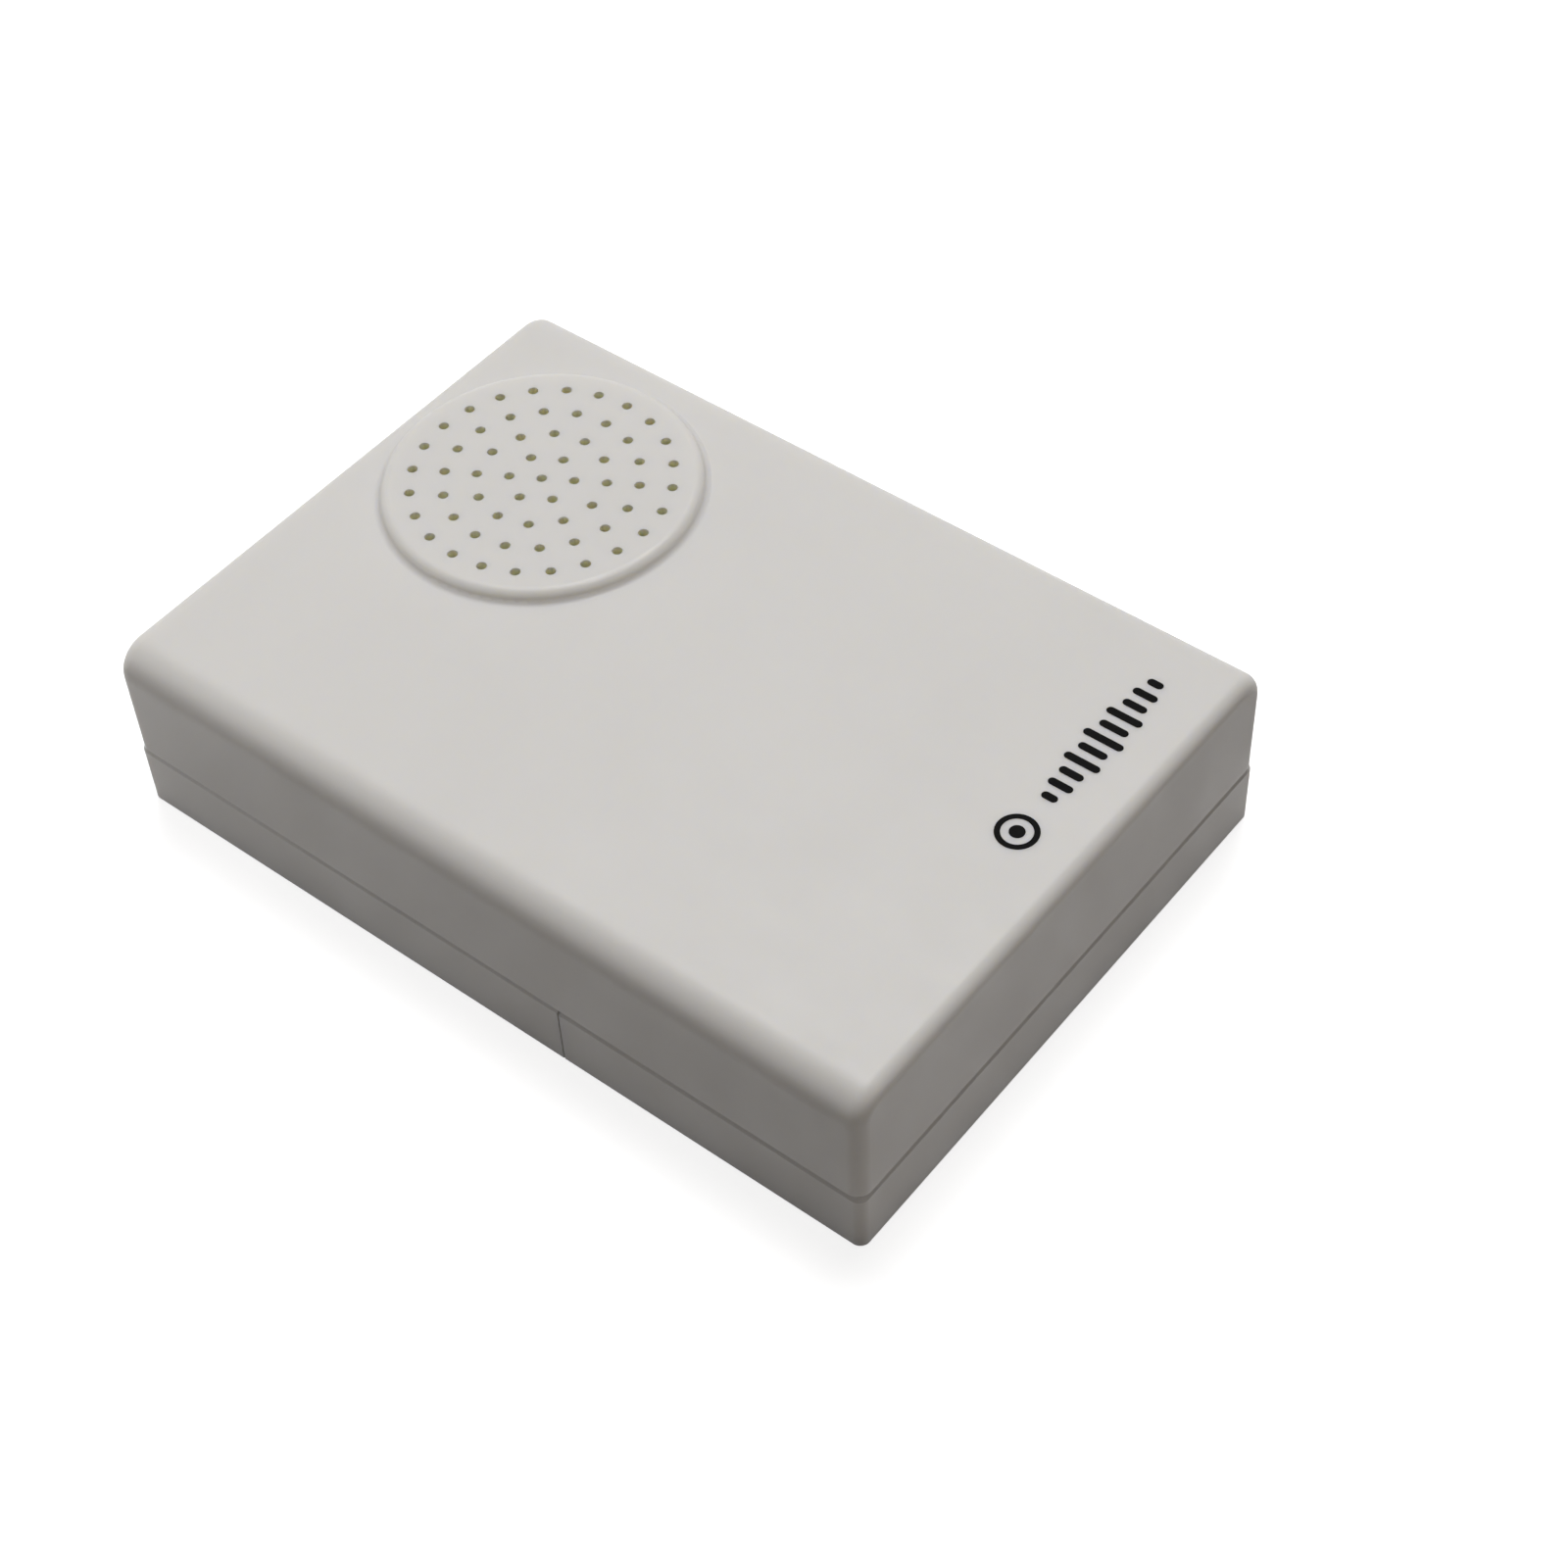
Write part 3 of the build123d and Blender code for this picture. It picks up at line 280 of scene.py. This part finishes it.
def casing_plastic():
    """Off-white casing: satin, finely grained and faintly uneven, with painted light that makes the
    walls of its holes paler.
    """
    shader = plastic("casing", CASING, rough=(0.40, 0.50), mottle=0.012, patch=22 * MM,
                     grain=0.22 * MM, depth=0.004 * MM)
    shader.set(Specular_IOR_Level=0.3, Subsurface_Weight=0.7, Subsurface_Scale=2.3 * MM,
               Subsurface_Radius=(1.0, 0.9, 0.62))
    shader.bump(shader.noise(feature=9 * MM, detail=2), depth=0.02 * MM)
    # Painted light: the walls of the grille's holes get a paler, more olive colour, as if lit through
    # the plastic
    face = shader.main.inputs["Base Color"].links[0].from_socket
    shader.colour(shader.blend(painted_light_in_holes(shader), face, HOLE_WALL_PAINTED_LIGHT))
    return shader.material


def metal(name, colour, rough=(0.25, 0.42), grain=(1, 1, 1), feature=0.4 * MM):
    """Plain or plated metal with drawn grain and faint tarnish."""
    shader = Shader(name)
    shader.set(Metallic=1.0)
    tarnish = 0.06
    tone = shader.span(shader.noise(feature=4 * MM, detail=4), 0, 1)
    shader.colour(shader.blend(tone, tint(colour, -tarnish), tint(colour, tarnish)))
    fine = shader.noise(feature, detail=3, place=shader.stretched(grain))
    shader.roughness(shader.span(fine, *rough))
    shader.bump(fine, depth=0.004 * MM)
    return shader.material


def diaphragm_film():
    """Pale amber film, faintly mottled and uneven."""
    shader = Shader("diaphragm_film")
    shader.set(Roughness=0.4, Specular_IOR_Level=0.3)
    tone = shader.span(shader.noise(feature=2.5 * MM, detail=3), 0, 1)
    darker = (0.50, 0.47, 0.29)
    lighter = (0.60, 0.57, 0.38)
    shader.colour(shader.blend(tone, darker, lighter))
    shader.bump(shader.noise(feature=0.5 * MM, detail=2), depth=0.01 * MM)
    return shader.material


def copper_winding():
    """Enamelled wire, wound in fine level turns, with painted shade in the grooves between them."""
    shader = Shader("coil_copper")
    shader.set(Metallic=1.0, Roughness=0.3)
    phase = shader.reckon("MULTIPLY", shader.coordinate(2), 2 * math.pi / WINDING_PITCH)
    turns = shader.reckon("SINE", phase)
    crest = shader.span(turns, 0, 1, first=-1, last=1)
    # Painted shade: darker colour in the grooves between the turns, the wire's copper on their crests
    painted_shade_between_turns = (0.32, 0.10, 0.03)
    on_turns = (0.78, 0.34, 0.13)
    shader.colour(shader.blend(crest, painted_shade_between_turns, on_turns))
    shader.bump(crest, depth=0.03 * MM)
    return shader.material


def foam():
    """Black open-cell foam, with painted shade in its pores."""
    shader = Shader("foam")
    shader.set(Roughness=0.95)
    pores = shader.cells(feature=0.45 * MM)
    wall = shader.span(pores, 0, 1, first=0.1, last=0.6)
    # Painted shade: the pores, which the bump sets deepest, are darker than the cell walls
    painted_shade_in_pores = (0.008, 0.008, 0.008)
    wall_black = (0.055, 0.055, 0.058)
    shader.colour(shader.blend(wall, painted_shade_in_pores, wall_black))
    shader.bump(pores, depth=0.12 * MM)
    return shader.material


def fibre_board():
    """Brown pressed fibre with flecks."""
    shader = Shader("fibre_board")
    shader.set(Roughness=0.7)
    flecks = shader.noise(feature=0.7 * MM, detail=4, rough=0.65, place=shader.stretched((1, 3, 1)))
    darker = (0.16, 0.075, 0.035)
    lighter = (0.34, 0.18, 0.09)
    shader.colour(shader.blend(shader.span(flecks, 0, 1), darker, lighter))
    shader.bump(flecks, depth=0.03 * MM)
    return shader.material


def board_laminate():
    """Tan paper laminate with drawn-out fibres under a satin varnish."""
    shader = Shader("board_laminate")
    shader.set(Roughness=0.42)
    fibres = shader.noise(feature=0.9 * MM, detail=5, rough=0.6, place=shader.stretched((1, 2.2, 1)))
    darker = (0.36, 0.24, 0.10)
    lighter = (0.50, 0.36, 0.18)
    shader.colour(shader.blend(shader.span(fibres, 0, 1), darker, lighter))
    shader.bump(fibres, depth=0.015 * MM)
    return shader.material


def sleeve():
    """Shrink sleeve of the cans: dark, with a pale stripe along one side and a bare aluminium top."""
    shader = Shader("capacitor_sleeve")
    low = corner("electrolytic_capacitors", 0)
    high = corner("electrolytic_capacitors", 1)
    stripe_y = low.y + (high.y - low.y) * CAN_STRIPE_SHARE
    stripe = shader.reckon("LESS_THAN", shader.coordinate(1), stripe_y)
    top = shader.reckon("GREATER_THAN", shader.coordinate(2), high.z - CAN_TOP_DEPTH)
    dark_blue = (0.015, 0.025, 0.085)
    pale_grey = (0.42, 0.43, 0.44)
    aluminium = (0.72, 0.72, 0.73)
    wrap = shader.blend(stripe, dark_blue, pale_grey)
    shader.colour(shader.blend(top, wrap, aluminium))
    shader.link(top, shader.main.inputs["Metallic"])
    wrinkles = shader.noise(feature=1.2 * MM, detail=3, place=shader.stretched((1, 1, 0.3)))
    shader.roughness(shader.span(wrinkles, 0.26, 0.4))
    shader.bump(wrinkles, depth=0.02 * MM)
    return shader.material


def resistor_coat():
    """Beige lacquer with colour bands round the body and tinned leads."""
    shader = Shader("resistor_coat")
    low = corner("resistors", 0)
    high = corner("resistors", 1)
    middle = (low.x + high.x) / 2
    along = shader.reckon("SUBTRACT", shader.coordinate(0), middle)
    tone = shader.span(shader.noise(feature=1 * MM), 0, 1)
    darker = (0.55, 0.42, 0.25)
    lighter = (0.64, 0.51, 0.33)
    colour = shader.blend(tone, darker, lighter)
    for centre, paint in RESISTOR_BANDS:
        away = shader.reckon("ABSOLUTE", shader.reckon("SUBTRACT", along, centre))
        band = shader.reckon("LESS_THAN", away, RESISTOR_BAND_HALF_WIDTH)
        colour = shader.blend(band, colour, paint)
    lead = shader.reckon("GREATER_THAN", shader.reckon("ABSOLUTE", along), RESISTOR_BODY_HALF_LENGTH)
    tinned = (0.62, 0.62, 0.61)
    shader.colour(shader.blend(lead, colour, tinned))
    shader.link(lead, shader.main.inputs["Metallic"])
    shader.set(Roughness=0.33)
    shader.bump(shader.noise(feature=0.5 * MM), depth=0.01 * MM)
    return shader.material


def cell_jacket(name, nub_side):
    """Blue jacket of a cell, pale near its nub (towards +Y for 1), with bare steel at both ends."""
    shader = Shader("cell_jacket_" + name)
    node = "battery_cell_" + name
    low = corner(node, 0).y
    high = corner(node, 1).y
    length = high - low
    start = low if nub_side < 0 else high
    from_nub = shader.reckon("SUBTRACT", shader.coordinate(1), start)
    along = shader.reckon("MULTIPLY", from_nub, -nub_side)
    rim = shader.reckon("GREATER_THAN", along, length - CELL_RIM_DEPTH)
    nub = shader.reckon("LESS_THAN", along, CELL_NUB_DEPTH)
    band = shader.reckon("LESS_THAN", along, length * CELL_BAND_SHARE)
    steel = shader.reckon("MAXIMUM", rim, nub)
    dark_blue = (0.018, 0.045, 0.12)
    pale_grey = (0.40, 0.42, 0.43)
    paint = shader.blend(band, dark_blue, pale_grey)
    bare_steel = (0.62, 0.61, 0.59)
    shader.colour(shader.blend(steel, paint, bare_steel))
    shader.link(shader.span(steel, 0.55, 1.0, first=0, last=1), shader.main.inputs["Metallic"])
    scuffs = shader.noise(feature=0.8 * MM, detail=4, place=shader.stretched((1, 0.25, 1)))
    shader.roughness(shader.span(scuffs, 0.24, 0.42))
    shader.bump(scuffs, depth=0.004 * MM)
    return shader.material


def ink():
    """Matt black print, a little uneven."""
    shader = plastic("ink", INK, rough=(0.55, 0.7), mottle=0.3, patch=1 * MM,
                     grain=0.1 * MM, depth=0.003 * MM)
    shader.set(Specular_IOR_Level=0.04)
    return shader.material


def insulation(name, colour):
    """Soft plastic insulation of a wire."""
    shader = plastic(name, colour, rough=(0.36, 0.5), mottle=0.1, patch=3 * MM,
                     grain=0.3 * MM, depth=0.01 * MM)
    return shader.material


def make_materials():
    """One material for each slot of the record, but for the cells' jackets."""
    return {
        "casing": casing_plastic(),
        "screw_steel": metal("screw_steel", (0.60, 0.60, 0.61), grain=(1, 1, 3)),
        "speaker_steel": metal("speaker_steel", (0.58, 0.57, 0.54), rough=(0.3, 0.5),
                               feature=0.8 * MM),
        "magnet": metal("magnet", (0.66, 0.65, 0.62), rough=(0.12, 0.25)),
        "diaphragm_film": diaphragm_film(),
        "coil_copper": copper_winding(),
        "foam": foam(),
        "fibre_board": fibre_board(),
        "brass_parts": metal("brass_parts", (0.78, 0.58, 0.26), grain=(1, 2, 1)),
        "board_laminate": board_laminate(),
        "block_plastic": plastic("block_plastic", (0.03, 0.19, 0.07), rough=(0.3, 0.42),
                                 patch=3 * MM).material,
        "chip_resin": plastic("chip_resin", (0.012, 0.012, 0.012), rough=(0.18, 0.34), mottle=0.2,
                              patch=2 * MM, grain=0.8 * MM, depth=0.03 * MM).material,
        "capacitor_sleeve": sleeve(),
        "capacitor_disc": plastic("capacitor_disc", (0.50, 0.20, 0.05), rough=(0.3, 0.45), mottle=0.1,
                                  patch=1.5 * MM, grain=0.5 * MM, depth=0.02 * MM).material,
        "transistor_case": plastic("transistor_case", (0.018, 0.018, 0.019), rough=(0.45, 0.6),
                                   patch=2 * MM, grain=0.12 * MM, depth=0.01 * MM).material,
        "resistor_coat": resistor_coat(),
        "contact_nickel": metal("contact_nickel", (0.70, 0.69, 0.65), rough=(0.2, 0.36),
                                grain=(1, 1, 4)),
        "wire_black": insulation("wire_black", (0.015, 0.015, 0.016)),
        "wire_red": insulation("wire_red", (0.40, 0.012, 0.012)),
    }


def put_material(piece, material):
    """The piece in one material alone."""
    piece.data.materials.clear()
    piece.data.materials.append(material)


def dress_cad(materials):
    """Gives every CAD node the material of its slot, and each cell a jacket of its own."""
    for part in frame["record"]["subparts"]:
        slot = part["material_slot"]
        if slot in materials:
            put_material(frame["nodes"][part["node"]], materials[slot])
    put_material(frame["nodes"]["battery_cell_a"], cell_jacket("a", 1))
    put_material(frame["nodes"]["battery_cell_b"], cell_jacket("b", -1))


def smooth_shading():
    """Keeps flat faces flat in the light while the small rounds stay smooth."""
    for piece in frame["nodes"].values():
        modifier = piece.modifiers.new("even_light", "WEIGHTED_NORMAL")
        modifier.keep_sharp = True
        modifier.weight = NORMAL_WEIGHT


def new_piece(name, mesh_maker, material, body):
    """A new mesh piece that rides on a body."""
    mesh = bpy.data.meshes.new(name)
    build = bmesh.new()
    mesh_maker(build)
    bmesh.ops.recalc_face_normals(build, faces=build.faces)
    build.to_mesh(mesh)
    build.free()
    piece = bpy.data.objects.new(name, mesh)
    bpy.context.scene.collection.objects.link(piece)
    put_material(piece, material)
    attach(piece, body)


def strip(build, first, second):
    """Faces between two closed rows of as many points."""
    for i in range(len(first)):
        j = (i + 1) % len(first)
        build.faces.new((first[i], first[j], second[j], second[i]))


def raised(build, loops, base):
    """A thin plate on the base, bounded by an outer loop and any inner one of as many points."""
    rims = []
    for loop in loops:
        low = [build.verts.new((x, y, base)) for x, y in loop]
        high = [build.verts.new((x, y, base + INK_HEIGHT)) for x, y in loop]
        strip(build, low, high)
        rims.append((low, high))
    for side in (0, 1):
        if len(rims) == 1:
            build.faces.new(rims[0][side])
        else:
            strip(build, rims[0][side], rims[1][side])


def circle(x, y, radius, steps=48):
    """Points round a circle."""
    turn = 2 * math.pi / steps
    return [(x + radius * math.cos(i * turn), y + radius * math.sin(i * turn)) for i in range(steps)]


def stadium(x, y, half_length, half_width, steps=10):
    """Points round a bar with rounded ends, long along X."""
    shape = []
    for side in (1, -1):
        for i in range(steps + 1):
            angle = math.pi * (i / steps - side / 2)
            shape.append((x + side * half_length + half_width * math.cos(angle),
                          y + half_width * math.sin(angle)))
    return shape


def printed_mark(material):
    """Generic black mark on the front face: a push button's ring and dot, then a row of level bars."""
    high = corner("front_cover", 1)
    face = high.z - DISC_RAISE
    x = high.x - MARK_END_INSET

    def make(build):
        ring = [circle(x, BUTTON_Y, radius) for radius in (BUTTON_RING_OUTER, BUTTON_RING_INNER)]
        raised(build, ring, face)
        raised(build, [circle(x, BUTTON_Y, BUTTON_DOT)], face)
        for number in range(BAR_COUNT):
            y = BAR_FIRST_Y + number * BAR_PITCH
            swell = math.sin(math.pi * (number + 0.5) / BAR_COUNT)
            if number % 2 == 0:
                swell *= SHORT_BAR_SHARE
            bar = stadium(x, y, BAR_LEAST + BAR_SWELL * swell, BAR_HALF_WIDTH)
            raised(build, [bar], face)

    new_piece("printed_mark", make, material, "housing")


def make_camera():
    """Camera at the photograph's place."""
    data = bpy.data.cameras.new("camera")
    data.lens = CAMERA_LENS
    data.sensor_width = CAMERA_SENSOR
    data.clip_start = CAMERA_CLIP
    camera = bpy.data.objects.new("camera", data)
    camera.location = CAMERA_PLACE
    camera.rotation_euler = [math.radians(angle) for angle in CAMERA_ANGLES]
    bpy.context.scene.collection.objects.link(camera)
    bpy.context.scene.camera = camera


def cleared(owner):
    """Empty node tree of a world or material."""
    owner.use_nodes = True
    owner.node_tree.nodes.clear()
    return owner.node_tree


def add_node(tree, kind, **values):
    """A new node of the kind, with plain values on its sockets."""
    made = tree.nodes.new(kind)
    for name, value in values.items():
        made.inputs[name.replace("_", " ")].default_value = value
    return made


def seen_directly(tree):
    """1 for camera, glossy and transmission rays, 0 for the light that falls on the object."""
    path = tree.nodes.new("ShaderNodeLightPath")
    total = path.outputs["Is Camera Ray"]
    for name in ("Is Glossy Ray", "Is Transmission Ray"):
        made = tree.nodes.new("ShaderNodeMath")
        made.operation = "MAXIMUM"
        tree.links.new(total, made.inputs[0])
        tree.links.new(path.outputs[name], made.inputs[1])
        total = made.outputs[0]
    return total


def seen_or_lit(tree, seen, lit, output_kind):
    """Ends the tree: one shader where it is looked at, another where it lights the object."""
    mix = tree.nodes.new("ShaderNodeMixShader")
    output = tree.nodes.new(output_kind)
    tree.links.new(seen_directly(tree), mix.inputs[0])
    tree.links.new(lit.outputs[0], mix.inputs[1])
    tree.links.new(seen.outputs[0], mix.inputs[2])
    tree.links.new(mix.outputs[0], output.inputs[0])


def make_world():
    """White where it is seen, and a low even fill where it lights the object."""
    world = bpy.data.worlds.new("studio")
    bpy.context.scene.world = world
    tree = cleared(world)
    fill = add_node(tree, "ShaderNodeBackground", Color=(*SKY_TINT, 1), Strength=SKY_FILL)
    white = add_node(tree, "ShaderNodeBackground", Color=(*WHITE, 1))
    seen_or_lit(tree, white, fill, "ShaderNodeOutputWorld")


def floor_material():
    """Looks white, keeps the object's shadow and throws back a little light."""
    material = bpy.data.materials.new("floor")
    tree = cleared(material)
    depth = FLOOR_SHADOW_DEPTH
    dull = add_node(tree, "ShaderNodeBsdfDiffuse", Color=(*FLOOR_BOUNCE, 1))
    shaded = add_node(tree, "ShaderNodeBsdfDiffuse", Color=(depth, depth, depth, 1))
    glow = add_node(tree, "ShaderNodeEmission")
    place = add_node(tree, "ShaderNodeTexCoord")
    distance = add_node(tree, "ShaderNodeVectorMath")
    distance.operation = "LENGTH"
    fade = add_node(tree, "ShaderNodeMapRange", From_Min=FLOOR_FADE_FROM, From_Max=FLOOR_FADE_TO,
                    To_Min=FLOOR_GLOW)
    both = add_node(tree, "ShaderNodeAddShader")
    tree.links.new(place.outputs["Object"], distance.inputs[0])
    tree.links.new(distance.outputs["Value"], fade.inputs["Value"])
    tree.links.new(fade.outputs[0], glow.inputs["Strength"])
    tree.links.new(shaded.outputs[0], both.inputs[0])
    tree.links.new(glow.outputs[0], both.inputs[1])
    seen_or_lit(tree, both, dull, "ShaderNodeOutputMaterial")
    return material


def make_floor():
    """Square floor just under the box."""
    mesh = bpy.data.meshes.new("floor")
    half = FLOOR_SIZE / 2
    corners = [(-half, -half), (half, -half), (half, half), (-half, half)]
    mesh.from_pydata([(x, y, -FLOOR_DROP) for x, y in corners], [], [(0, 1, 2, 3)])
    mesh.materials.append(floor_material())
    floor = bpy.data.objects.new("floor", mesh)
    bpy.context.scene.collection.objects.link(floor)


def make_lamp(name, place, size, watts, colour=WHITE):
    """Soft square lamp that looks at the middle of the box's back."""
    data = bpy.data.lights.new(name, "AREA")
    data.color = colour
    data.size = size
    data.energy = watts
    lamp = bpy.data.objects.new(name, data)
    lamp.location = place
    lamp.rotation_euler = (-Vector(place)).to_track_quat("-Z", "Y").to_euler()
    lamp.visible_camera = False
    bpy.context.scene.collection.objects.link(lamp)


make_camera()
make_world()
make_floor()
make_lamp("key", KEY_PLACE, KEY_SIZE, KEY_WATTS)
make_lamp("side", SIDE_PLACE, SIDE_SIZE, SIDE_WATTS)
make_lamp("front", FRONT_PLACE, FRONT_SIZE, FRONT_WATTS, FRONT_TINT)
dress_cad(make_materials())
smooth_shading()
printed_mark(ink())

bpy.context.scene.view_settings.view_transform = "Standard"
